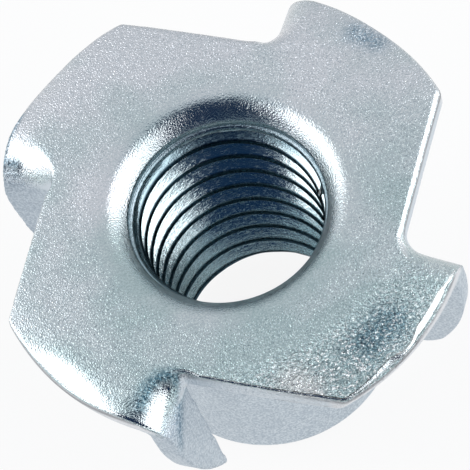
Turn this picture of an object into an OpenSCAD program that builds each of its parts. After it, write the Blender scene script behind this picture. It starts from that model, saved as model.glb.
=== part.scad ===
// Four-prong tee nut, M10 x 1.5: one pressed and tapped piece of zinc-plated steel.
// The flange lies on top and the barrel stands on z = 0, centred on the Z axis.

/* [Flange] */
// Diameter of the flange across its lobes
flange_d = 22.5; // [20:0.1:26]
// Thickness of the flange sheet
sheet_t = 1.1; // [0.9:0.1:1.6]
// Distance from the axis to each sheared straight edge
shear_offset = 8.4; // [7.6:0.1:9.2]
// Radius of the rolled upper edge of the rim
rim_edge_r = 0.4; // [0.1:0.05:0.5]
// Radius left by the shear at the inner corner of each notch
notch_r = 1.1; // [0.3:0.1:1.4]

/* [Barrel and bore] */
// Height from the barrel's end to the top of the flange
height = 14.5; // [12:0.1:18]
// Outer diameter of the barrel
barrel_d = 12.2; // [11.6:0.1:13]
// Diameter over the crests of the internal thread
thread_minor_d = 8.376; // [8.2:0.004:8.8]
// Diameter of the smooth throat between the mouth and the thread
throat_d = 8.9; // [8.8:0.1:9.6]
// Radius of the drawn mouth, from the flange into the throat
mouth_r = 1.25; // [0.8:0.05:1.5]
// Depth of the smooth throat below the mouth's curve
throat_depth = 0.25; // [0.1:0.05:0.6]
// Size of the 45 degree chamfer at the bore's lower end
exit_chamfer = 0.45; // [0.2:0.05:0.8]
// Radius of the barrel's lower outer edge
barrel_edge_r = 0.5; // [0.2:0.1:0.8]
// Radius of the corner between the barrel and the flange's underside
root_r = 0.5; // [0.2:0.1:0.8]

/* [Prongs] */
// Number of prongs, one folded down from each lobe
prong_count = 4; // [3:1:4]
// Direction of the first notch, counter-clockwise from +X
first_notch_angle = -33; // [-45:1:45]
// Depth of each prong's tip below the top of the flange
prong_depth = 10.4; // [8:0.1:11]
// Radius of each prong's curved outer edge
prong_edge_r = 14; // [12.5:0.1:16]
// Depth at which that curve begins
prong_curve_depth = 2.25; // [2:0.05:3]
// Outer radius of the fold where it reaches the rim
fold_r = 2.1; // [1.4:0.1:2.4]
// Radius inside the fold
fold_inner_r = 0.4; // [0.2:0.1:0.6]
// Distance from the sheared edge to the sharp end of the fold
fold_start = 0.3; // [0.2:0.1:0.8]
// Angle by which each prong springs back from square
spring_back = 3; // [0:0.5:5]

/* [Hidden] */
$fn = 96;
flange_r = flange_d / 2;
barrel_r = barrel_d / 2;
thread_minor_r = thread_minor_d / 2;
throat_r = throat_d / 2;
throat_end_z = height - mouth_r - throat_depth;
underside_z = height - sheet_t;
notch_half = sqrt(flange_r ^ 2 - shear_offset ^ 2);
prong_r = sqrt(flange_r ^ 2 - sheet_t ^ 2);

// How far a cutter runs past what it cuts, and how far a joined shape sinks into its neighbour
clear = 1;
lap = 0.2;

// Outward direction of the prong's outer face, which leans by the spring-back
face_out = [0, cos(spring_back), sin(spring_back)];
// From the fold's sharp end to the point of its axis at the rim, equally deep under both faces
fold_axis = [
  flange_r - shear_offset - fold_start,
  -fold_r * (1 - sin(spring_back)) / cos(spring_back),
  -fold_r
];
fold_slope = asin(fold_r / norm(fold_axis));
// The fold's cutters run on past the rim by this factor, and clear of the faces by this much
fold_reach = 1.25;
fold_clear = 0.2;

// A square corner filled by a concave quarter round, corner at the origin and sunk into both walls
module inner_corner(radius) {
  difference() {
    translate([-lap, -lap]) square(radius + lap);
    translate([radius, radius]) circle(radius);
  }
}

// Half section of the flange and the barrel before the bore, axis on x = 0
module body_section() {
  translate([0, underside_z]) square([flange_r - rim_edge_r, sheet_t]);
  translate([0, underside_z]) square([flange_r, sheet_t - rim_edge_r]);
  translate([flange_r - rim_edge_r, height - rim_edge_r]) circle(rim_edge_r);
  translate([0, barrel_edge_r]) square([barrel_r, underside_z - barrel_edge_r]);
  square([barrel_r - barrel_edge_r, underside_z]);
  translate([barrel_r - barrel_edge_r, barrel_edge_r]) circle(barrel_edge_r);
  translate([barrel_r, underside_z]) mirror([0, 1]) inner_corner(root_r);
}

// Half section of the drawn mouth, the throat, the threaded wall and the exit chamfer
module bore_section() {
  step = throat_r - thread_minor_r;
  translate([0, throat_end_z]) square([throat_r, height - throat_end_z + clear]);
  translate([throat_r, height]) mirror([0, 1]) inner_corner(mouth_r);
  translate([0, height]) square([throat_r + mouth_r, clear]);
  polygon([
    [0, -clear],
    [thread_minor_r + exit_chamfer + clear, -clear],
    [thread_minor_r, exit_chamfer],
    [thread_minor_r, throat_end_z - step],
    [throat_r, throat_end_z],
    [0, throat_end_z]
  ]);
}

// Copies of one notch's parts: +X runs out through the notch, the lobe lies on the -Y side
module at_each_notch() {
  for (i = [0 : prong_count - 1])
    rotate(first_notch_angle + i * 360 / prong_count) children();
}

// Turns its children, drawn square to the flange, out by the spring-back about the fold's edge
module sprung() {
  translate([0, 0, height]) rotate([spring_back, 0, 0]) translate([0, 0, -height]) children();
}

// The piece of flange that the shear frees, all of it beyond the prong's outer face
module freed_piece() {
  sprung() translate([shear_offset, 0, underside_z - clear])
    cube([flange_r, notch_half + clear, sheet_t + 2 * clear]);
}

// Round left at the inner corner of the notch
module notch_round() {
  translate([shear_offset, 0, underside_z]) linear_extrude(sheet_t) inner_corner(notch_r);
}

// The freed piece turned down into a pointed blade, drawn with its outer face on y = 0
module blade() {
  rotate([90, 0, 0]) linear_extrude(sheet_t) {
    translate([shear_offset, height - prong_curve_depth])
      square([prong_r - shear_offset, prong_curve_depth - sheet_t / 2]);
    intersection() {
      translate([prong_r - prong_edge_r, height - prong_curve_depth]) circle(prong_edge_r);
      translate([shear_offset, height - prong_depth])
        square([flange_r - shear_offset, prong_depth - prong_curve_depth]);
    }
  }
}

// Round inside the fold, between the flange's underside and the prong's inner face
module fold_inside() {
  depth = sheet_t + fold_inner_r;
  centre = [-(sheet_t + fold_inner_r) / cos(spring_back) + depth * tan(spring_back), height - depth];
  touch = centre + fold_inner_r * [face_out.y, face_out.z];
  bite = [sheet_t, sheet_t] / 2;
  translate([shear_offset, 0, 0]) rotate([90, 0, 90]) linear_extrude(prong_r - shear_offset)
    difference() {
      polygon([centre, touch, touch + [bite.x, 0], [touch.x, underside_z] + bite,
               [centre.x, underside_z + bite.y]]);
      translate(centre) circle(fold_inner_r);
    }
}

// What the fold takes off the square outer corner: nothing at the notch, most at the rim
module fold_corner() {
  axis = fold_axis * fold_reach;
  drop = fold_r * fold_reach;
  up = [0, 0, 1];
  translate([shear_offset + fold_start, 0, height]) difference() {
    polyhedron(
      points = [[0, 0, 0],
                axis,
                axis + (drop + fold_clear) * face_out,
                [axis.x, fold_clear, fold_clear],
                axis + (drop + fold_clear) * up],
      faces = [[0, 1, 2], [0, 2, 3], [0, 3, 4], [0, 4, 1], [1, 4, 3, 2]]);
    rotate([0, acos(axis.z / norm(axis)), atan2(axis.y, axis.x)])
      cylinder(h = norm(axis) + clear, r1 = 0, r2 = (norm(axis) + clear) * tan(fold_slope));
  }
}

module tee_nut() {
  color([0.74, 0.77, 0.80]) difference() {
    union() {
      difference() {
        rotate_extrude() difference() { body_section(); bore_section(); }
        at_each_notch() freed_piece();
      }
      at_each_notch() {
        notch_round();
        sprung() blade();
        fold_inside();
      }
    }
    at_each_notch() fold_corner();
  }
}

tee_nut();
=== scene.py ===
# %% [markdown]
# # A four-prong tee nut
# A tee nut is a single pressed piece: a round flange, a threaded barrel drawn out of its middle,
# and four prongs sheared from the rim and folded down to bite into wood. The solid model already
# fixes its size and place, so this lesson starts by loading it, and everything after it works in
# that same frame. Its unit is the metre; small sizes are written in millimetres and multiplied by
# MM. The box of the model is kept now.

# %% Load the solid model
from collections import namedtuple

import bmesh
import bpy
import numpy as np
from mathutils import Matrix, Vector


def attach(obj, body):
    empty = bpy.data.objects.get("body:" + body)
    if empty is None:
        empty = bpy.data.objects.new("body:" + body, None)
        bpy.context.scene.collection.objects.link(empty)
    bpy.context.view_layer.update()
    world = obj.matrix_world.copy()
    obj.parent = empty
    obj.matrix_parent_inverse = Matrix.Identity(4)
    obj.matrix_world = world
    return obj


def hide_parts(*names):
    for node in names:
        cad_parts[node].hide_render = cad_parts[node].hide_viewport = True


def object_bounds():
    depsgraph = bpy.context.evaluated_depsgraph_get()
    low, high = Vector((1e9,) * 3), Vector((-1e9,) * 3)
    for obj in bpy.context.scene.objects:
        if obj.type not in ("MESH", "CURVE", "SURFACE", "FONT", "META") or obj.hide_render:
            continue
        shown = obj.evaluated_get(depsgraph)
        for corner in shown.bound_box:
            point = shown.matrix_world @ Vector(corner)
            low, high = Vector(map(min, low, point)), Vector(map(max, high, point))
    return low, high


MM = 0.001
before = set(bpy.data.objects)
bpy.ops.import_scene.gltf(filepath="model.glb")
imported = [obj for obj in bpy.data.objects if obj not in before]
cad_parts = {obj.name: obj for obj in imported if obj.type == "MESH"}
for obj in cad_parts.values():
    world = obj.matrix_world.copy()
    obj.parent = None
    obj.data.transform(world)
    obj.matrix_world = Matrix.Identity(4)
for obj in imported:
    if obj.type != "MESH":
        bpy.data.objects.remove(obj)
solid_box = [list(corner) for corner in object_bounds()]
print("solid model:", list(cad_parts))
print("its box, mm:", [round((b - a) / MM, 2) for a, b in zip(*solid_box)])

# %% [markdown]
# ## Describe the pressed sheet by distance
# The flange and its prongs are one sheet that was sheared and folded, so its edges, folds and torn
# corners all run softly into each other. Drawing that patch by patch is slow, and bevels on a
# boolean cut break where they meet. Here the sheet is written instead as one function that says
# how far a point is outside the metal: round_max and round_min join two faces with a rounded
# corner or a filled one, and their radius may change from place to place. That is how a fold can
# be sharp at the notch and wide at the rim.
#
# No two notches of a pressed nut are quite alike, because the sheet tears, drags and slips a little
# differently at each. So each notch has a row of its own, in millimetres. Headings are in degrees
# round the barrel's axis, and a notch's prong stands to the right of its heading, seen from the axis.

# %% Name the sheet's sizes
FLANGE_TOP = round(solid_box[1][2] / MM, 3)
SHEET = 1.1
FLANGE_UNDER = FLANGE_TOP - SHEET
RIM_R = 11.22
SHARP = 0.12

# heading: where the notch points               shear: how far out its straight cut lies
# creep: how far the fold slipped to the left   corner: radius of the torn corner
# bevel: its width along the cut                drag: how far the rim beside the fold is pulled down
# fold: the fold's radius at the rim            tip, tip_r: height and radius of the prong's tip
# curve_z: where the prong's edge curves in     curl: how the cut's far end bends inwards
Notch = namedtuple("Notch", "heading shear creep corner bevel drag fold tip tip_r curve_z curl")
NOTCHES = [
    Notch(-33, 8.40, -0.45, 0.90, 0.17, 0.05, 1.7, 4.7, 1.1, 12.25, 0.000),
    Notch(57, 8.40, 0.00, 1.20, 0.05, 0.20, 1.6, 4.1, 0.2, 12.25, 0.000),
    Notch(147, 8.40, 0.20, 0.20, 0.05, 0.30, 2.7, 4.1, 0.2, 12.80, 0.000),
    Notch(237, 8.59, 0.20, 0.15, 0.05, 0.58, 2.7, 4.4, 0.3, 12.50, 0.009),
]
print(len(NOTCHES), "notches; prong tips stand", [notch.tip for notch in NOTCHES], "mm high")


# %% Join faces softly
def round_max(a, b, r):
    """Keep what both faces keep, with their outer corner rounded."""
    return np.minimum(np.maximum(a, b), -r) + np.hypot(np.maximum(a + r, 0), np.maximum(b + r, 0))


def round_min(a, b, r):
    """Keep what either face keeps, with their inner corner filled."""
    return -round_max(-a, -b, r)


def ease(low, high, value):
    """0 below low, 1 above high, smooth between."""
    t = np.clip((value - low) / (high - low), 0, 1)
    return t * t * (3 - 2 * t)


def bell(heading, centre, width):
    """1 at a heading in degrees, fading to 0 on both sides."""
    return np.exp(-((((heading - centre) + 180) % 360 - 180) / width) ** 2)


def across(x, y, heading):
    """How far a point lies out along a heading, and how far to the left of it."""
    angle = np.radians(heading)
    return x * np.cos(angle) + y * np.sin(angle), y * np.cos(angle) - x * np.sin(angle)


print("a corner of radius 1 takes off", round(float(round_max(0.0, 0.0, 1.0)), 2), "mm")

# %% Follow the flange's top
SAG, SAG_FROM = 0.012, 7.2
# The rim is dragged down a little all round, and more this many degrees before each notch
DRAG_ALL_ROUND, DRAG_REACH = 0.06, 1.5
DRAG_BEFORE, DRAG_WIDTH = 27, 12
DENT, DENT_AT, DENT_SPREAD = 0.10, (8.37, 5.44), 1.1


def sag(x, y):
    """How far the rim hangs under the level middle."""
    return SAG * np.maximum(np.hypot(x, y) - SAG_FROM, 0) ** 2


def over_top(x, y, z):
    """Height over the flange's top face, with its dragged rim and its dent."""
    heading = np.degrees(np.arctan2(y, x))
    pulled = [notch.drag * bell(heading, notch.heading - DRAG_BEFORE, DRAG_WIDTH) for notch in NOTCHES]
    near_rim = np.maximum((np.hypot(x, y) - RIM_R) / DRAG_REACH + 1, 0) ** 2
    top = z + sag(x, y) - FLANGE_TOP + (DRAG_ALL_ROUND + sum(pulled)) * near_rim
    dent_x, dent_y = x - DENT_AT[0], y - DENT_AT[1]
    return top + DENT * np.exp(-(dent_x**2 + dent_y**2) / DENT_SPREAD)


print("the rim hangs", round(float(sag(RIM_R, 0)), 2), "mm lower than the middle")

# %% Fold a lobe at a notch
# A bevel's face takes this much of the top's distance and of the side's, a slope of 40 degrees
BEVEL_TOP, BEVEL_SIDE = 0.77, 0.64
FOLD_START, FOLD_OPENS = 0.2, 1.1
# Left of the corner the fold fades out and the bevel along the cut begins
FOLD_ENDS, BEVEL_BEGINS, CURL_FROM = (0.25, 0.9), (-0.2, 0.4), 3
NO_BEVEL = 3
LEAN = np.radians(3)


def bevelled(top, side_face, width):
    """The sloping face of a bevel between the top and a side face."""
    return BEVEL_TOP * top + BEVEL_SIDE * (side_face + width)


def leaning(side, z):
    """The prong's outer face, which springs back a little from square."""
    return side * np.cos(LEAN) + (z - FLANGE_TOP) * np.sin(LEAN)


def shoulder(notch, out, side, z, top):
    """The flange's skin at a notch: a straight cut, a torn corner and a fold like a cone."""
    chord = out - notch.shear + notch.curl * np.maximum(side - CURL_FROM, 0) ** 2
    cut = round_min(chord, leaning(side, z), notch.corner)
    past_corner = np.maximum(out - notch.shear + FOLD_START * (1 + notch.corner), 0)
    opened = 1 - np.exp(-past_corner / FOLD_OPENS)
    fold = SHARP + notch.fold * opened * (1 - ease(*FOLD_ENDS, side))
    bevel = bevelled(top, chord, notch.bevel) - NO_BEVEL * (1 - ease(*BEVEL_BEGINS, side))
    return np.maximum(round_max(top, cut, fold), bevel)


print("a prong leans", round(float(np.degrees(LEAN))), "degrees out of square")

# %% Hang a prong under the fold
# Its outer edge goes from upright into an arc: how far out the arc's centre is, and its radius
PRONG_MIDDLE, PRONG_BULGE = -2.8, 14.0
PRONG_EDGE_R, PRONG_ROOT_R = 0.15, 0.45


def blade(notch, out, side, z):
    """The prong under a notch's fold, curved on its outer edge and cut straight on its inner one."""
    face = leaning(side, z)
    edge = np.hypot(out - PRONG_MIDDLE, np.minimum(z - notch.curve_z, 0)) - PRONG_BULGE
    outline = round_max(round_max(edge, notch.tip - z, notch.tip_r), notch.shear - out, SHARP)
    return np.maximum(round_max(-SHEET - face, outline, PRONG_EDGE_R), face)


print("a prong is", SHEET, "mm thick and reaches", round(PRONG_MIDDLE + PRONG_BULGE, 1), "mm out")

# %% Mark the rim where the press caught it
# The rim's bevel by heading: the press marked it twice beside the first prong
BEVEL_AT = (-180, -81, -78, -66, -63, -60, -56, -46, -43, -40, 180)
BEVEL = (0.05, 0.05, 0.13, 0.42, 0.11, 0.10, 0.38, 0.34, 0.18, 0.05, 0.05)
# There the rim's top also stands out further than its underside
SPREAD_AT, SPREAD = (-97, -84, -66, -50, -40), (0, 0.28, 0.25, 0.08, 0)
SPREAD_Z = (13.2, 14.4)
print("the rim's bevel is up to", max(BEVEL), "mm wide and its top spreads up to", max(SPREAD), "mm")

# %% Write the whole sheet as one distance
# A prong's outer edge grows rounder from 2 to 5 mm under the top, by this much
LOWER_EDGE_R, LOWER_EDGE_AT = 0.4, (2, 5)
UNDER_EDGE_R = 0.1


def sheet_distance(x, y, z):
    """Distance outside the flange and prongs, for points outside the collar."""
    radius, heading = np.hypot(x, y), np.degrees(np.arctan2(y, x))
    top = over_top(x, y, z)
    z = z + sag(x, y)
    skin, inner = top, FLANGE_UNDER - z
    for notch in NOTCHES:
        out, side = across(x, y, notch.heading)
        side = side - notch.creep
        skin = np.maximum(skin, shoulder(notch, out, side, z, top))
        inner = round_min(inner, blade(notch, out, side, z), PRONG_ROOT_R)
    rim = RIM_R + np.interp(heading, SPREAD_AT, SPREAD) * ease(*SPREAD_Z, z)
    skin = np.maximum(skin, bevelled(top, radius - rim, np.interp(heading, BEVEL_AT, BEVEL)))
    rim_edge = SHARP + LOWER_EDGE_R * ease(*LOWER_EDGE_AT, skin - top)
    return round_max(round_max(skin, radius - rim, rim_edge), inner, UNDER_EDGE_R)


middle = (FLANGE_TOP + FLANGE_UNDER) / 2
print("distance in the middle of the sheet, mm:", round(float(sheet_distance(7.5, 0.0, middle)), 2))

# %% [markdown]
# ## Turn the distance into a skin of quads
# A distance function has no faces yet. Marching cubes would find them but leaves slivers, so this
# uses surface nets: every grid cell that the surface passes through gets one point, and every grid
# edge it crosses gets one quad. The grid is wound round the axis, so the sheet's inner boundary is
# a clean ring that the barrel can be sewn to. Each point is then pushed onto the exact surface
# along the slope of the function.

# %% Wind the grid and find the crossings
SEGMENTS, STEP, COLLAR_R = 480, 0.13, 7.0
RINGS, LEVELS, LOWEST = 37, 85, 3.70
turns = np.arange(SEGMENTS) * 2 * np.pi / SEGMENTS
radii = COLLAR_R - STEP / 2 + STEP * np.arange(RINGS)
levels = LOWEST + STEP * np.arange(LEVELS)


def wound(r, t, z):
    """Grid places to x, y, z in millimetres."""
    return np.stack([r * np.cos(t), r * np.sin(t), z], axis=-1)


grid = wound(*np.meshgrid(radii, turns, levels, indexing="ij"))
depth = sheet_distance(*np.moveaxis(grid, -1, 0))
inside_metal = depth < 0
corners = [(i, j, k) for i in (0, 1) for j in (0, 1) for k in (0, 1)]


def shifted(values, i, j, k):
    """Every cell's corner (i, j, k), with the turn closed on itself."""
    rolled = np.roll(values, -j, axis=1)
    return rolled[i : values.shape[0] - 1 + i, :, k : values.shape[2] - 1 + k]


filled = sum(shifted(inside_metal, *corner).astype(int) for corner in corners)
mixed = (filled > 0) & (filled < len(corners))
number = np.full(mixed.shape, -1)
number[mixed] = np.arange(mixed.sum())
print("grid", depth.shape, "gives", mixed.sum(), "points")

# %% Put a point in each cell
total, crossings = np.zeros((mixed.sum(), 3)), np.zeros(mixed.sum())
for a in corners:
    for b in corners:
        if sum(b) - sum(a) == 1 and all(q >= p for p, q in zip(a, b)):
            depth_a, depth_b = shifted(depth, *a)[mixed], shifted(depth, *b)[mixed]
            place_a, place_b = shifted(grid, *a)[mixed], shifted(grid, *b)[mixed]
            hit = (depth_a < 0) != (depth_b < 0)
            share = np.where(hit, depth_a / np.where(hit, depth_a - depth_b, 1), 0)[:, None]
            total += np.where(hit[:, None], place_a + share * (place_b - place_a), 0)
            crossings += hit
points = total / crossings[:, None]


def slope(p, small=0.002):
    """Value and gradient of the sheet's distance at each point."""
    value = sheet_distance(*p.T)
    rise = [sheet_distance(*(p + small * axis).T) - value for axis in np.eye(3)]
    return value, np.stack(rise, axis=-1) / small


PUSHES, LONGEST_PUSH, LEAST_SLOPE = 5, 0.06, 0.05
for _ in range(PUSHES):
    value, rise = slope(points)
    move = -(value / np.maximum((rise**2).sum(-1), LEAST_SLOPE))[:, None] * rise
    points += np.clip(move, -LONGEST_PUSH, LONGEST_PUSH)
print("largest miss, mm:", round(float(np.abs(slope(points)[0]).max()), 4))


# %% Sew the points into quads
def sew(axis):
    """Quads round every crossed grid edge along one axis."""
    crossed = np.roll(inside_metal, -1, axis=axis) != inside_metal
    if axis != 1:
        crossed[(slice(None),) * axis + (-1,)] = False
    i, j, k = np.nonzero(crossed)
    first, second = [d for d in range(3) if d != axis]
    ring_of_cells = []
    for step_first, step_second in ((0, 0), (-1, 0), (-1, -1), (0, -1)):
        cell = [i, j, k]
        cell[first], cell[second] = cell[first] + step_first, cell[second] + step_second
        cell[1] = cell[1] % SEGMENTS
        in_grid = (cell[0] >= 0) & (cell[0] < number.shape[0])
        in_grid &= (cell[2] >= 0) & (cell[2] < number.shape[2])
        found = number[tuple(np.where(in_grid, c, 0) for c in cell)]
        ring_of_cells.append(np.where(in_grid, found, -1))
    quads = np.stack(ring_of_cells, axis=-1)
    outwards = inside_metal[i, j, k] if axis != 1 else ~inside_metal[i, j, k]
    quads[~outwards] = quads[~outwards][:, ::-1]
    return quads[(quads >= 0).all(-1)]


quads = np.concatenate([sew(axis) for axis in range(3)])
print("sheet has", len(points), "points and", len(quads), "quads")

# %% [markdown]
# ## Turn the barrel and cut its thread
# Inside the collar everything is round: the drawn mouth, the bore, the barrel and the small radii
# between them. Rings of points give that directly. The thread is an M10 x 1.5 right-hand one. A
# screw modifier could sweep it, but its ends would stick out of the bore, so the rows of points
# climb one pitch per turn and are simply held between the ends of the bore, where they merge into
# the chamfer and the throat.

# %% Shape the wall of the bore
PITCH, MINOR_R, THREAD_DEPTH = 1.5, 4.188, 0.85
BORE_TOP, THROAT_R, EXIT_R = 13.08, 4.45, 4.638
THREAD_FADES, THROAT_STARTS = 12.95, 12.738
# One groove: the share of the pitch, and the share of the thread's depth cut there
GROOVE_AT = (0.00, 0.08, 0.11, 0.38, 0.41, 0.59, 0.62, 0.89, 0.92, 1.00)
GROOVE_CUT = (0.00, 0.08, 0.12, 0.97, 1.00, 1.00, 0.97, 0.12, 0.08, 0.00)


def bore_radius(t, z):
    """Radius of the bore's wall at a turn and a height."""
    phase = np.mod(z / PITCH - t / (2 * np.pi), 1)
    groove = THREAD_DEPTH * np.interp(phase, GROOVE_AT, GROOVE_CUT)
    groove = groove * (1 - ease(THREAD_FADES, BORE_TOP, z))
    throat = MINOR_R + np.clip(z - THROAT_STARTS, 0, THROAT_R - MINOR_R)
    return np.maximum(np.maximum(MINOR_R + groove, throat), EXIT_R - z)


print("the thread's crests stand", MINOR_R, "mm from the axis")

# %% Wind rows of points up the bore
half_turn = SEGMENTS // 2
around = (2 * np.arange(half_turn) + 1) * 2 * np.pi / SEGMENTS
# The rows of points in each turn, closer together at the groove's corners
LOWER_ROWS = (0.0, 0.012, 0.07, 0.10, 0.13, 0.24, 0.35, 0.39)
UPPER_ROWS = (0.50, 0.61, 0.65, 0.76, 0.87, 0.90, 0.93, 0.988)
# They begin under the bore and end over it, so that every heading has rows at both of its ends
FIRST_TURN, LAST_TURN = -1, 10
climb = PITCH * around / (2 * np.pi)
row_phases = np.array(LOWER_ROWS + UPPER_ROWS)
row_starts = PITCH * (np.arange(FIRST_TURN, LAST_TURN)[:, None] + row_phases).ravel()
bore = []
for start in row_starts[::-1]:
    height = np.clip(start + climb, 0, BORE_TOP)
    bore.append(wound(bore_radius(around, height), around, height))
print("bore has", len(bore), "rows in", round(BORE_TOP / PITCH, 1), "turns")


# %% Draw the mouth
def ring(r, z):
    """One level ring of points."""
    return wound(r * np.ones_like(around), around, z * np.ones_like(around))


# The mouth's radii inwards, closest together at the throat's corner, and its slope at a radius:
# it rolls over slowly from the flange, drops almost upright at the throat and ends in a ledge
MOUTH_R, JOIN_R = 6.1, 6.86
mouth_r = np.array([*np.linspace(MOUTH_R, 4.68, 24), 4.655, 4.645, 4.635, 4.625, 4.61, 4.58, 4.55])
SLOPE_R = (4.55, 4.61, 4.63, 4.65, 4.66, 4.70, 4.82, 4.95, 5.18, 5.42, 5.62, 5.80, 5.95, 6.1)
SLOPE_DEG = (12, 20, 84, 84, 60, 52, 50, 46, 37, 26, 14, 5, 2, 0)
steep = np.tan(np.radians(np.interp((mouth_r[1:] + mouth_r[:-1]) / 2, SLOPE_R, SLOPE_DEG)))
# The mouth was drawn a little shallower on one side
gentler = 1 - 0.12 * bell(np.degrees(around), 270, 60)
mouth_z = FLANGE_TOP + np.cumsum((steep * np.diff(mouth_r))[:, None] * gentler, axis=0)
mouth_end = float(mouth_z.min())

rows = [ring(r, FLANGE_TOP) for r in (JOIN_R, 6.6, 6.35, 6.15, MOUTH_R)]
rows += [ring(r, z) for r, z in zip(mouth_r[1:], mouth_z)]
rows += [ring(THROAT_R + 0.04, mouth_end - 0.07), ring(THROAT_R, mouth_end - 0.14)]
print("mouth drops", round(FLANGE_TOP - mouth_end, 2), "mm")


# %% Turn the barrel
def arc(r, z, radius, start, stop, steps=7):
    """Rings along a quarter round, with its centre at r and z."""
    angles = np.radians(np.linspace(start, stop, steps))
    return [ring(r + radius * np.cos(a), z + radius * np.sin(a)) for a in angles]


# From the bore's lip over the end face, up the barrel and out under the flange
BARREL_R, END_ROUND, ROOT_ROUND = 6.1, 0.5, 0.5
LIP = 0.03
lip = np.copy(bore[-1])
lip[:, :2] *= 1 + LIP / np.hypot(lip[:, 0], lip[:, 1])[:, None]
rows += [*bore, lip, ring(5.3, 0), ring(5.55, 0)]
rows += arc(BARREL_R - END_ROUND, END_ROUND, END_ROUND, -90, 0)
rows += [ring(BARREL_R, z) for z in np.linspace(0.6, 12.8, 22)]
rows += arc(BARREL_R + ROOT_ROUND, FLANGE_UNDER - ROOT_ROUND, ROOT_ROUND, 180, 90)
rows += [ring(JOIN_R, FLANGE_UNDER)]
barrel = np.concatenate(rows)
print("barrel has", len(rows), "rings of", half_turn)

# %% [markdown]
# ## Sew the sheet to the barrel
# The sheet's ring has twice as many points as the barrel's, because the rim is further out and
# needs them. One band of triangles and quads on each face of the flange takes up the difference.
# The points and faces then go into a bmesh, which can merge the places where rows of the thread lie
# on top of each other, and which shows at once whether any edge is left open.

# %% Join both skins into one closed mesh
band = np.arange(half_turn)
after = (band + 1) % half_turn
faces = [tuple(quad) for quad in quads.tolist()]
# A fault that is left: a row of the thread ends one pitch above its own start and is closed onto it,
# so a column of quads 0.11 mm wide at heading 0 runs almost upright across the thread. Its end
# should be sewn to the start of the row one pitch higher.
for row in range(len(rows) - 1):
    a, b = len(points) + row * half_turn, len(points) + (row + 1) * half_turn
    faces += np.stack([a + band, a + after, b + after, b + band], axis=-1).tolist()

under_level, top_level = np.nonzero(mixed[0].all(axis=0))[0]
for level, row in ((top_level, 0), (under_level, len(rows) - 1)):
    outer, inner_ring = number[0, :, level], len(points) + row * half_turn
    for m, n in zip(band.tolist(), after.tolist()):
        p, q, s = (int(outer[(2 * m + step) % SEGMENTS]) for step in (0, 1, 2))
        new = [(inner_ring + m, p, q), (inner_ring + m, q, s, inner_ring + n)]
        faces += new if row == 0 else [face[::-1] for face in new]
print("faces before cleaning:", len(faces))

# %% Build and clean the mesh
MERGE, SLIVER = 2e-6, 1e-7
skin = bmesh.new()
for place in np.concatenate([points, barrel]) * MM:
    skin.verts.new(place)
skin.verts.ensure_lookup_table()
for face in faces:
    skin.faces.new([skin.verts[n] for n in face])
bmesh.ops.remove_doubles(skin, verts=skin.verts, dist=MERGE)
bmesh.ops.dissolve_degenerate(skin, edges=skin.edges, dist=SLIVER)
open_edges = sum(1 for edge in skin.edges if len(edge.link_faces) != 2)
pressed = bpy.data.meshes.new("pressed_nut")
skin.to_mesh(pressed)
skin.free()
pressed.shade_smooth()
pressed.calc_loop_triangles()
print("pressed nut:", len(pressed.loop_triangles), "triangles,", open_edges, "open edges")

# %% Stand the dressed nut in for the solid
pressed_nut = bpy.data.objects.new("pressed_nut", pressed)
bpy.context.scene.collection.objects.link(pressed_nut)
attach(pressed_nut, "root")
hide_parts("tee_nut")
print("pressed nut rides on root and replaces tee_nut")

# %% [markdown]
# ## Mark where the press changed the metal, and where shade is painted
# Pressing doesn't leave the plate the same all over. Where the tool rubbed, the grain is coarse
# or scuffed, and beside the folds the zinc is matt. Other marks are painted shade: a painted dark
# reflection beside two folds, on a lobe's end, along one rim and in two patches, a painted shade
# streak down one fold's groove, and a thin painted shade line just under the top of the walls.
# These are places rather than patterns, so a texture can't find them. They could be painted by
# hand, but that is lost whenever the mesh is made again. Here each point gets a few numbers, worked
# out from its distance to short lines and headings, and the material reads them back by name with an
# Attribute node.


# %% Measure the distance to a line
def near_path(x, y, path):
    """Distance to a line of points."""
    near = np.full(x.shape, np.inf)
    for (ax, ay), (bx, by) in zip(path, path[1:]):
        length_squared = (bx - ax) ** 2 + (by - ay) ** 2
        along = np.clip(((x - ax) * (bx - ax) + (y - ay) * (by - ay)) / length_squared, 0, 1)
        near = np.minimum(near, np.hypot(x - ax - along * (bx - ax), y - ay - along * (by - ay)))
    return near


def smear(x, y, path, width):
    """1 on a line of points, fading to 0 over its width."""
    return np.exp(-((near_path(x, y, path) / width) ** 2))


places = np.empty(3 * len(pressed.vertices))
pressed.vertices.foreach_get("co", places)
x, y, z = places.reshape(-1, 3).T / MM
radius, heading = np.hypot(x, y), np.degrees(np.arctan2(y, x))
on_top = z > 13.1
print("points to mark:", len(z))

# %% Find the painted shade and the softened metal
# Lines of painted dark reflection beside a fold, as distances out along its notch's heading and to the left
# of it
FOLD_EDGE = [(10.4, -1.25), (9.5, -1.1), (8.95, -0.75), (8.75, -0.3), (8.75, 0.15)]
LOBE_END = [(11.3, -0.7), (10.5, -0.55)]
# Lines of painted shade on the nut itself: a dark reflection along one rim, and a streak down one fold's
# groove
RIM_LINE = [(-7.50, 8.30), (-8.36, 7.40), (-9.04, 6.57)]
GROOVE_SHADE_LINE = [(-4.63, -7.56), (-5.50, -9.10)]
# Patches of painted dark reflection on two lobes; a patch's second value is both its strength and its width
SHADE_PATCHES = [([(3.8, -9.0), (5.1, -8.5)], 0.8), ([(8.5, 6.1), (9.2, 5.3)], 0.6)]

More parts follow.
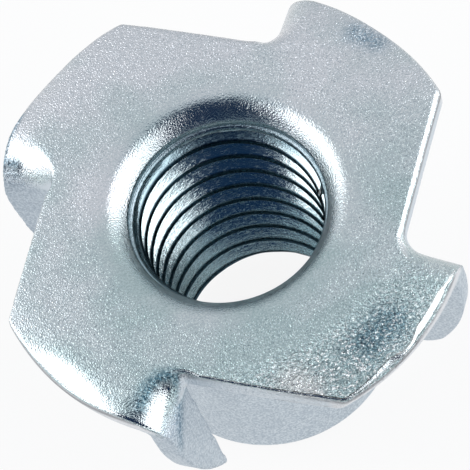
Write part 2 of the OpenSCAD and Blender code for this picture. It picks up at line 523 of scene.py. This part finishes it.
strain_and_painted_shade = np.zeros_like(x)
for notch_heading, amount in ((237, 0.85), (147, 0.18)):
    beside_fold = smear(*across(x, y, notch_heading), FOLD_EDGE, 0.36)
    strain_and_painted_shade = np.maximum(strain_and_painted_shade, amount * beside_fold)
strain_and_painted_shade = np.maximum(strain_and_painted_shade, 0.7 * smear(*across(x, y, 147), LOBE_END, 0.34))
strain_and_painted_shade = np.maximum(strain_and_painted_shade, 0.75 * smear(x, y, RIM_LINE, 0.13))
softened = 0.9 * strain_and_painted_shade
for shade_patch, amount in SHADE_PATCHES:
    strain_and_painted_shade = np.maximum(strain_and_painted_shade, amount * smear(x, y, shade_patch, amount))

# The front of the mouth is matt too, and a painted shade streak runs down the groove of one fold
mouth_front = bell(heading, -95, 75) * (1 - ease(4.75, 5.2, radius))
softened = np.maximum(softened, 0.8 * mouth_front) * on_top
down_groove = z - 13.8 + 1.07 * np.hypot(x - GROOVE_SHADE_LINE[0][0], y - GROOVE_SHADE_LINE[0][1])
groove_shade = 0.65 * smear(x, y, GROOVE_SHADE_LINE, 0.4) * np.exp(-((down_groove / 0.6) ** 2))
strain_and_painted_shade = np.maximum(strain_and_painted_shade * on_top, groove_shade)
print("strained points:", int((strain_and_painted_shade > 0.1).sum()), "softened:", int((softened > 0.1).sum()))

# %% Find the rubbed metal and the painted shade line, and store all marks
SCUFF = [(0.1, -9.6), (0.6, -10.2)]
coarse = bell(heading, -78, 30) * ease(7.5, 9.8, radius) * (z > 13.4)
scuffed = 0.75 * smear(x, y, SCUFF, 0.75) * (z > 13.9)
# A thin line of painted shade runs round the walls 0.2 mm under the top
edge_shade_band = np.exp(-(((over_top(x, y, z) + 0.2) / 0.16) ** 2))
sheared = edge_shade_band * (1 - bell(heading, -103, 17)) * (radius > 7.5)

MARKS = {
    "sheared": sheared,
    "scuffed": scuffed,
    "strain_and_painted_shade": strain_and_painted_shade,
    "softened": softened,
    "coarse": coarse,
}
for name, values in MARKS.items():
    mark = pressed.attributes.new(name, "FLOAT", "POINT")
    mark.data.foreach_set("value", values.astype(np.float32))
print("marks stored:", list(MARKS))

# %% [markdown]
# ## The camera
# Small hardware is shot with a long lens from well above, so that the flange reads as a flat disc
# and the thread still shows down the bore. The camera could be aimed with a constraint, but a
# matrix of its own right, up and back directions also fixes how far it is rolled, which a look-at
# constraint leaves level. The nut's axis leans over to the left in the render.

# %% Place and aim the camera
camera_at = Vector((0.547, -77.232, 158.616)) * MM
right = Vector((0.93708, -0.30764, -0.16504)).normalized()
up = Vector((0.34910, 0.83066, 0.43374))
up = (up - up.dot(right) * right).normalized()
back = right.cross(up)

lens = bpy.data.cameras.new("long_lens")
lens.sensor_width = 36
lens.lens = 274.8
lens.clip_start = 0.01
camera = bpy.data.objects.new("camera", lens)
camera.matrix_world = Matrix((right, up, back)).transposed().to_4x4()
camera.location = camera_at
bpy.context.scene.collection.objects.link(camera)
bpy.context.scene.camera = camera
print("camera is", round(camera_at.length / MM), "mm from the barrel's end")

# %% [markdown]
# ## The floor
# The nut stands on a plain white floor. A diffuse white comes out a little grey, so most of what the
# lens and the shiny metal see of the floor is mixed towards pure white, and the rest stays diffuse
# and keeps the soft shadow under the prongs.


# %% Start a material
def new_material(name):
    """An empty node material and its tree."""
    material = bpy.data.materials.new(name)
    material.use_nodes = True
    material.node_tree.nodes.clear()
    return material, material.node_tree


def add(tree, kind, **settings):
    """Add a node and set its properties or unlinked input values by name."""
    node = tree.nodes.new(kind)
    for key, value in settings.items():
        if hasattr(node, key):
            setattr(node, key, value)
        else:
            node.inputs[key.replace("_", " ")].default_value = value
    return node


white_floor, tree = new_material("white_floor")
print("started", white_floor.name)

# %% Mix the white floor
PURE_SHARE = 0.9
paper = add(tree, "ShaderNodeBsdfDiffuse", Color=(0.9, 0.9, 0.91, 1))
glow = add(tree, "ShaderNodeEmission", Color=(1, 1, 1, 1), Strength=1.0)
ray = add(tree, "ShaderNodeLightPath")
lens_or_metal = add(tree, "ShaderNodeMath", operation="MAXIMUM")
any_of_three = add(tree, "ShaderNodeMath", operation="MAXIMUM")
share = add(tree, "ShaderNodeMath", operation="MULTIPLY")
share.inputs[1].default_value = PURE_SHARE
blend = add(tree, "ShaderNodeMixShader")
surface = add(tree, "ShaderNodeOutputMaterial")
tree.links.new(ray.outputs["Is Camera Ray"], lens_or_metal.inputs[0])
tree.links.new(ray.outputs["Is Glossy Ray"], lens_or_metal.inputs[1])
tree.links.new(lens_or_metal.outputs[0], any_of_three.inputs[0])
tree.links.new(ray.outputs["Is Transmission Ray"], any_of_three.inputs[1])
tree.links.new(any_of_three.outputs[0], share.inputs[0])
tree.links.new(share.outputs[0], blend.inputs[0])
tree.links.new(paper.outputs[0], blend.inputs[1])
tree.links.new(glow.outputs[0], blend.inputs[2])
tree.links.new(blend.outputs[0], surface.inputs["Surface"])
print("white floor has", len(tree.nodes), "nodes")

# %% Lay the floor
half = 0.5
floor_corners = [(-half, -half, 0), (half, -half, 0), (half, half, 0), (-half, half, 0)]
floor_mesh = bpy.data.meshes.new("floor")
floor_mesh.from_pydata(floor_corners, [], [(0, 1, 2, 3)])
floor_mesh.materials.append(white_floor)
floor = bpy.data.objects.new("floor", floor_mesh)
bpy.context.scene.collection.objects.link(floor)
print("floor is", half * 2, "m across")

# %% [markdown]
# ## The room and its lamps
# Bare metal shows little colour of its own: it shows the room. Here the room is a plain gradient:
# pale overhead and behind, greyer straight at the back, and dark blue on the side where the viewer
# stands. Two large soft boxes stand left and right. A ready-made studio picture would do it too,
# but a gradient and two lamps are easier to understand and to change.

# %% Tone the room by direction
ROOM_TONES = [
    (0.00, (0.34, 0.39, 0.42)),
    (0.05, (0.58, 0.62, 0.65)),
    (0.12, (0.70, 0.73, 0.76)),
    (0.30, (0.70, 0.72, 0.75)),
    (0.50, (0.62, 0.67, 0.71)),
    (0.59, (0.40, 0.48, 0.53)),
    (0.68, (0.007, 0.025, 0.062)),
]
DARK_SIDE = Vector((-0.2, -0.98, 0.0)).normalized()
print("room has", len(ROOM_TONES), "tones")

# %% Build the room
world = bpy.data.worlds.new("studio")
world.use_nodes = True
bpy.context.scene.world = world
tree = world.node_tree
tree.nodes.clear()
looking = add(tree, "ShaderNodeTexCoord")
facing = add(tree, "ShaderNodeVectorMath", operation="DOT_PRODUCT")
facing.inputs[1].default_value = DARK_SIDE
turned_to = add(tree, "ShaderNodeMapRange")
turned_to.inputs["From Min"].default_value = -1
turned_to.inputs["From Max"].default_value = 1
room = add(tree, "ShaderNodeValToRGB")
while len(room.color_ramp.elements) < len(ROOM_TONES):
    room.color_ramp.elements.new(0.5)
for stop, (position, tone) in zip(room.color_ramp.elements, ROOM_TONES):
    stop.position = position
    stop.color = (*tone, 1)
sky = add(tree, "ShaderNodeBackground", Strength=1.0)
surface = add(tree, "ShaderNodeOutputWorld")
tree.links.new(looking.outputs["Generated"], facing.inputs[0])
tree.links.new(facing.outputs["Value"], turned_to.inputs["Value"])
tree.links.new(turned_to.outputs["Result"], room.inputs["Fac"])
tree.links.new(room.outputs["Color"], sky.inputs["Color"])
tree.links.new(sky.outputs[0], surface.inputs["Surface"])
print("room takes", len(tree.nodes), "nodes")

# %% Stand the soft boxes around the nut
NUT_MIDDLE = Vector((0, 0, 0.01))


def soft_box(name, place, size, brightness):
    """A rectangular lamp facing the nut, as bright as a surface of that value."""
    lamp = bpy.data.lights.new(name, "AREA")
    lamp.shape = "RECTANGLE"
    lamp.size, lamp.size_y = size
    lamp.energy = 4 * size[0] * size[1] * brightness
    box = bpy.data.objects.new(name, lamp)
    box.location = place
    box.rotation_euler = (NUT_MIDDLE - Vector(place)).to_track_quat("-Z", "Y").to_euler()
    bpy.context.scene.collection.objects.link(box)


soft_box("left_box", (-0.34, 0.08, 0.22), (0.40, 0.30), 1.6)
soft_box("right_box", (0.338, -0.14, 0.20), (0.52, 0.36), 1.6)

# %% [markdown]
# ## Bright zinc plate
# The steel is barrel-plated with zinc and passivated to a faint blue. Up close the plate is a fine
# crystalline grain: neighbouring specks tilt a little, so reflections break up into sparkle. The
# grain could come from an image, but noise textures give it at any distance: one very fine noise
# tilts the surface through a bump, coarser ones make it uneven, and slow noises drift the
# colour and the roughness. The plate isn't alike everywhere, so the first cells measure where on
# the nut a spot is and which way it faces, and turn that into amounts between 0 and 1.

# %% Start the zinc and measure the spot
zinc, tree = new_material("bright_zinc_plate")
plate = add(tree, "ShaderNodeBsdfPrincipled", Metallic=1.0)
surface = add(tree, "ShaderNodeOutputMaterial")
tree.links.new(plate.outputs[0], surface.inputs["Surface"])

spot = add(tree, "ShaderNodeTexCoord")
spot_parts = add(tree, "ShaderNodeSeparateXYZ")
level_part = add(tree, "ShaderNodeCombineXYZ")
level_length = add(tree, "ShaderNodeVectorMath", operation="LENGTH")
facing_parts = add(tree, "ShaderNodeSeparateXYZ")
tree.links.new(spot.outputs["Object"], spot_parts.inputs[0])
tree.links.new(spot_parts.outputs["X"], level_part.inputs["X"])
tree.links.new(spot_parts.outputs["Y"], level_part.inputs["Y"])
tree.links.new(level_part.outputs[0], level_length.inputs[0])
tree.links.new(spot.outputs["Normal"], facing_parts.inputs[0])

spot_x, spot_y, spot_height = (spot_parts.outputs[axis] for axis in "XYZ")
from_axis = level_length.outputs["Value"]
faces_up, faces_back = facing_parts.outputs["Z"], facing_parts.outputs["Y"]
print("the spot's place, distance from the axis and facing are measured")


# %% Turn a measure into an amount
def rescale(value, low, high, edges=(0.3, 0.7)):
    """A number that moves from low to high while a value crosses its two edges."""
    node = add(tree, "ShaderNodeMapRange")
    for socket, number_there in zip(("From Min", "From Max", "To Min", "To Max"), (*edges, low, high)):
        node.inputs[socket].default_value = number_there
    tree.links.new(value, node.inputs["Value"])
    return node.outputs["Result"]


def above(place, start, stop):
    """0 under start and 1 over stop, both in millimetres."""
    return rescale(place, 0, 1, (start * MM, stop * MM))


def below(place, start, stop):
    """1 under start and 0 over stop, both in millimetres."""
    return rescale(place, 1, 0, (start * MM, stop * MM))


print("rescale, above and below give amounts")


# %% Join amounts and read marks
def combine(kind, a, b):
    """Two numbers joined by one operation."""
    node = add(tree, "ShaderNodeMath", operation=kind)
    tree.links.new(a, node.inputs[0])
    tree.links.new(b, node.inputs[1])
    return node.outputs[0]


def both(first, *others):
    """Amounts multiplied, so that all of them must hold."""
    for other in others:
        first = combine("MULTIPLY", first, other)
    return first


def painted(name):
    """A mark that was stored on the points of the mesh."""
    return add(tree, "ShaderNodeAttribute", attribute_name=name).outputs["Fac"]


print("combine and both join amounts, and painted reads a mark")

# %% Tell the nut's regions apart
flange = both(above(spot_height, 12.7, 13.0), rescale(faces_up, 0, 1, (0.25, 0.5)))
outside = above(from_axis, 5.1, 5.5)
plated = combine("MAXIMUM", flange, outside)
in_bore = rescale(plated, 1, 0, (0, 1))
in_throat = above(spot_height, 12.2, 12.5)
prongs_and_barrel = both(below(spot_height, 12.9, 13.6), outside)
past_collar = above(from_axis, 6.9, 7.3)
side_wall = both(rescale(faces_up, 1, 0, (0.3, 0.5)), past_collar)
# A painted highlight lightens the rolled edges that face the front
rolled_edge = both(rescale(faces_up, 0.6, 0, (0.90, 0.965)), rescale(faces_up, 0, 1, (0.60, 0.68)))
softened_here = painted("softened")
painted_edge_highlight = both(rolled_edge, past_collar, rescale(faces_back, 1, 0, (0.05, 0.2)))
painted_edge_highlight = both(painted_edge_highlight, rescale(softened_here, 1, 0, (0.1, 0.7)))
print("regions take", len(tree.nodes), "nodes so far")


# %% Cloud the plate
def noise(size_mm, detail=2.0, roughness=0.5, place=None):
    """Noise whose lumps are about size_mm across."""
    node = add(tree, "ShaderNodeTexNoise", Scale=1 / (size_mm * MM), Detail=detail, Roughness=roughness)
    tree.links.new(spot.outputs["Object"] if place is None else place, node.inputs["Vector"])
    return node.outputs["Fac"]


def blend_tones(value, low, high, edges):
    """A colour that drifts between two tones."""
    node = add(tree, "ShaderNodeValToRGB")
    for stop, position, tone in zip(node.color_ramp.elements, edges, (low, high)):
        stop.position = position
        stop.color = (*tone, 1)
    tree.links.new(value, node.inputs["Fac"])
    return node.outputs["Color"]


PALE_ZINC, CLOUDY_ZINC = (0.815, 0.82, 0.85), (0.54, 0.645, 0.65)
# The clouds are the plate's own tone; painted shade moves it towards the cloudy tone at the front and the
# left, by this much per metre
FRONT_SHADE_SLOPE = (-4, -45, 0)
front_shade = add(tree, "ShaderNodeVectorMath", operation="DOT_PRODUCT")
front_shade.inputs[1].default_value = FRONT_SHADE_SLOPE
tree.links.new(spot.outputs["Object"], front_shade.inputs[0])
cloud = rescale(noise(3.5, 3.0), 0.15, 0.85)
cloud_and_front_shade = combine("ADD", cloud, front_shade.outputs["Value"])
coat = blend_tones(cloud_and_front_shade, PALE_ZINC, CLOUDY_ZINC, (0.05, 0.88))
print("clouds are about 3.5 mm across")


# %% Tone the prongs and the barrel
def toned(colour, tone, amount):
    """A colour that moves to another tone as far as the amount says."""
    node = add(tree, "ShaderNodeMix", data_type="RGBA")
    tree.links.new(amount, node.inputs["Factor"])
    tree.links.new(colour, node.inputs["A"])
    node.inputs["B"].default_value = (*tone, 1)
    return node.outputs["Result"]


def tinted(colour, shade, amount):
    """A colour multiplied by a shade as far as the amount says."""
    node = add(tree, "ShaderNodeMix", data_type="RGBA", blend_type="MULTIPLY")
    tree.links.new(amount, node.inputs["Factor"])
    tree.links.new(colour, node.inputs["A"])
    node.inputs["B"].default_value = (*shade, 1)
    return node.outputs["Result"]


MATT_ZINC, LEFT_SHADE_ZINC = (0.68, 0.745, 0.80), (0.59, 0.66, 0.73)
coat = toned(coat, MATT_ZINC, prongs_and_barrel)
# Painted shade: the prongs and barrel on the left are darker
coat = toned(coat, LEFT_SHADE_ZINC, both(prongs_and_barrel, below(spot_x, -10, -5)))
print("prongs and barrel are toned", MATT_ZINC)

# %% Speck the plate and darken the strained metal
FINE_SPECK, DARK_SPECK = (0.82, 0.85, 0.87), (0.74, 0.77, 0.80)
PAINTED_SHADE, PAINTED_SHADE_SPECK = (0.64, 0.76, 0.83), (0.18, 0.33, 0.42)
COARSE_SPECK, BRIGHT_SPECK, SCUFFED = (0.42, 0.57, 0.62), (0.97, 0.98, 0.99), (0.95, 0.95, 0.95)
fine_specks = rescale(noise(0.09, 2.0, 0.7), 0, 1, (0.38, 0.62))
dark_specks = rescale(noise(0.11, 1.0), 0, 1, (0.42, 0.56))
bright_specks = rescale(noise(0.14, 1.0), 0, 1, (0.55, 0.64))
strain_and_painted_shade_here, coarse_here, scuffed_here = painted("strain_and_painted_shade"), painted("coarse"), painted("scuffed")

coat = tinted(coat, FINE_SPECK, fine_specks)
# Painted shade: these marks darken the metal with a painted dark reflection beside the folds, on one lobe's
# end, along one rim and in two patches, and with a streak down one groove
coat = tinted(coat, PAINTED_SHADE, strain_and_painted_shade_here)
coat = tinted(coat, PAINTED_SHADE_SPECK, both(dark_specks, strain_and_painted_shade_here))
coat = tinted(coat, COARSE_SPECK, both(dark_specks, rescale(coarse_here, 0, 0.5, (0, 1))))
coat = toned(coat, BRIGHT_SPECK, both(bright_specks, rescale(coarse_here, 0, 0.8, (0, 1))))
coat = toned(coat, SCUFFED, scuffed_here)
coat = tinted(coat, DARK_SPECK, both(dark_specks, prongs_and_barrel))
print("specks are 0.09 to 0.14 mm across")

# %% Tone the walls and paint the edges' highlights and shade line
WALL, RIM_WALL_HIGHLIGHT = (0.67, 0.735, 0.79), (0.80, 0.82, 0.85)
EDGE_SHADE, EDGE_HIGHLIGHT = (0.30, 0.31, 0.33), (0.86, 0.88, 0.90)
rim_highlight_band = both(above(spot_height, 13.2, 13.5), below(spot_height, 13.8, 14.2))
coat = toned(coat, WALL, both(side_wall, above(spot_height, 13.1, 13.3)))
# Painted highlight: the rim's wall is lightened near its top
coat = toned(coat, RIM_WALL_HIGHLIGHT, both(side_wall, above(from_axis, 10.9, 11.1), rim_highlight_band))
# Painted shade: a thin dark line just under the top of the walls
coat = toned(coat, EDGE_SHADE, both(side_wall, painted("sheared")))
# Painted highlight on the rolled edges that face the front
coat = toned(coat, EDGE_HIGHLIGHT, painted_edge_highlight)
print("walls are toned from 13.1 mm up")

# %% Tone the bore
TAPPED, CREST_SHADE, LEDGE_SHADE = (0.70, 0.81, 0.84), (0.04, 0.07, 0.09), (0.50, 0.58, 0.62)
coat = toned(coat, TAPPED, in_bore)
# Painted shade: the thread's crests are darkened
coat = tinted(coat, CREST_SHADE, below(from_axis, 4.28, 4.36))
# Painted shade: the ledge at the throat is darkened
coat = tinted(coat, LEDGE_SHADE, both(below(from_axis, 4.62, 4.67), in_throat))
tree.links.new(coat, plate.inputs["Base Color"])
print("crests are dark out to 4.28 mm from the axis")


# %% Set the sheen
def between(amount, a, b):
    """A number that moves from a to b."""
    node = add(tree, "ShaderNodeMix", data_type="FLOAT")
    for socket, source in zip(("Factor", "A", "B"), (amount, a, b)):
        tree.links.new(source, node.inputs[socket])
    return node.outputs["Result"]


# Marks of the tap run along the thread, so their noise is stretched round the axis
TURN_STRETCH = 1.2 * MM
turn = add(tree, "ShaderNodeMath", operation="MULTIPLY")
turn.inputs[1].default_value = TURN_STRETCH
tree.links.new(combine("ARCTAN2", spot_y, spot_x), turn.inputs[0])
unrolled = add(tree, "ShaderNodeCombineXYZ")
for source, axis in zip((turn.outputs[0], from_axis, spot_height), "XYZ"):
    tree.links.new(source, unrolled.inputs[axis])
tap_marks = noise(0.085, 2.0, 0.6, unrolled.outputs[0])

drift = noise(0.6)
bore_sheen = between(above(spot_height, 12.3, 12.5), rescale(drift, 0.10, 0.17), rescale(drift, 0.20, 0.27))
bore_sheen = combine("ADD", bore_sheen, rescale(tap_marks, 0, 0.15, (0.52, 0.66)))
lower_sheen = between(outside, bore_sheen, rescale(drift, 0.36, 0.46))
mouth = below(from_axis, 5.0, 5.8)
top_sheen = between(mouth, rescale(drift, 0.12, 0.20), rescale(drift, 0.20, 0.26))
top_sheen = between(softened_here, top_sheen, rescale(drift, 0.42, 0.50))
tree.links.new(between(flange, lower_sheen, top_sheen), plate.inputs["Roughness"])
print("sheen drifts over 0.6 mm")


# %% Grain the surface
def bump(height, depth_mm, under=None):
    """Tilt the surface by a height texture, on top of an earlier bump."""
    node = add(tree, "ShaderNodeBump", Strength=1.0, Distance=depth_mm * MM)
    tree.links.new(height, node.inputs["Height"])
    if under is not None:
        tree.links.new(under, node.inputs["Normal"])
    return node.outputs["Normal"]


grainy = both(plated, rescale(from_axis, 0.5, 1, (5.6 * MM, 6.5 * MM)))
grainy = combine("MAXIMUM", grainy, rescale(in_throat, 0.10, 0.32, (0, 1)))
grainy = both(grainy, rescale(painted_edge_highlight, 1, 0.3, (0, 0.6)), rescale(coarse_here, 1, 2.2, (0, 1)))
pitted = combine("ADD", scuffed_here, rescale(strain_and_painted_shade_here, 0, 0.5, (0, 1)))
pitted = combine("ADD", coarse_here, pitted)
pitted = both(pitted, rescale(painted_edge_highlight, 1, 0, (0, 0.5)))

relief = bump(both(noise(1.2), plated), 0.02)
relief = bump(both(noise(0.2, 1.0), pitted), 0.30, relief)
relief = bump(both(tap_marks, in_bore), 0.012, relief)
relief = bump(both(noise(0.075, 1.5), grainy), 0.05, relief)
tree.links.new(relief, plate.inputs["Normal"])
pressed.materials.append(zinc)
print("zinc has", len(tree.nodes), "nodes")

# %% [markdown]
# ## Leave the view plain
# The view is left plain, so that colours come out as they are written.

# %% Leave the view plain
bpy.context.scene.view_settings.view_transform = "Standard"
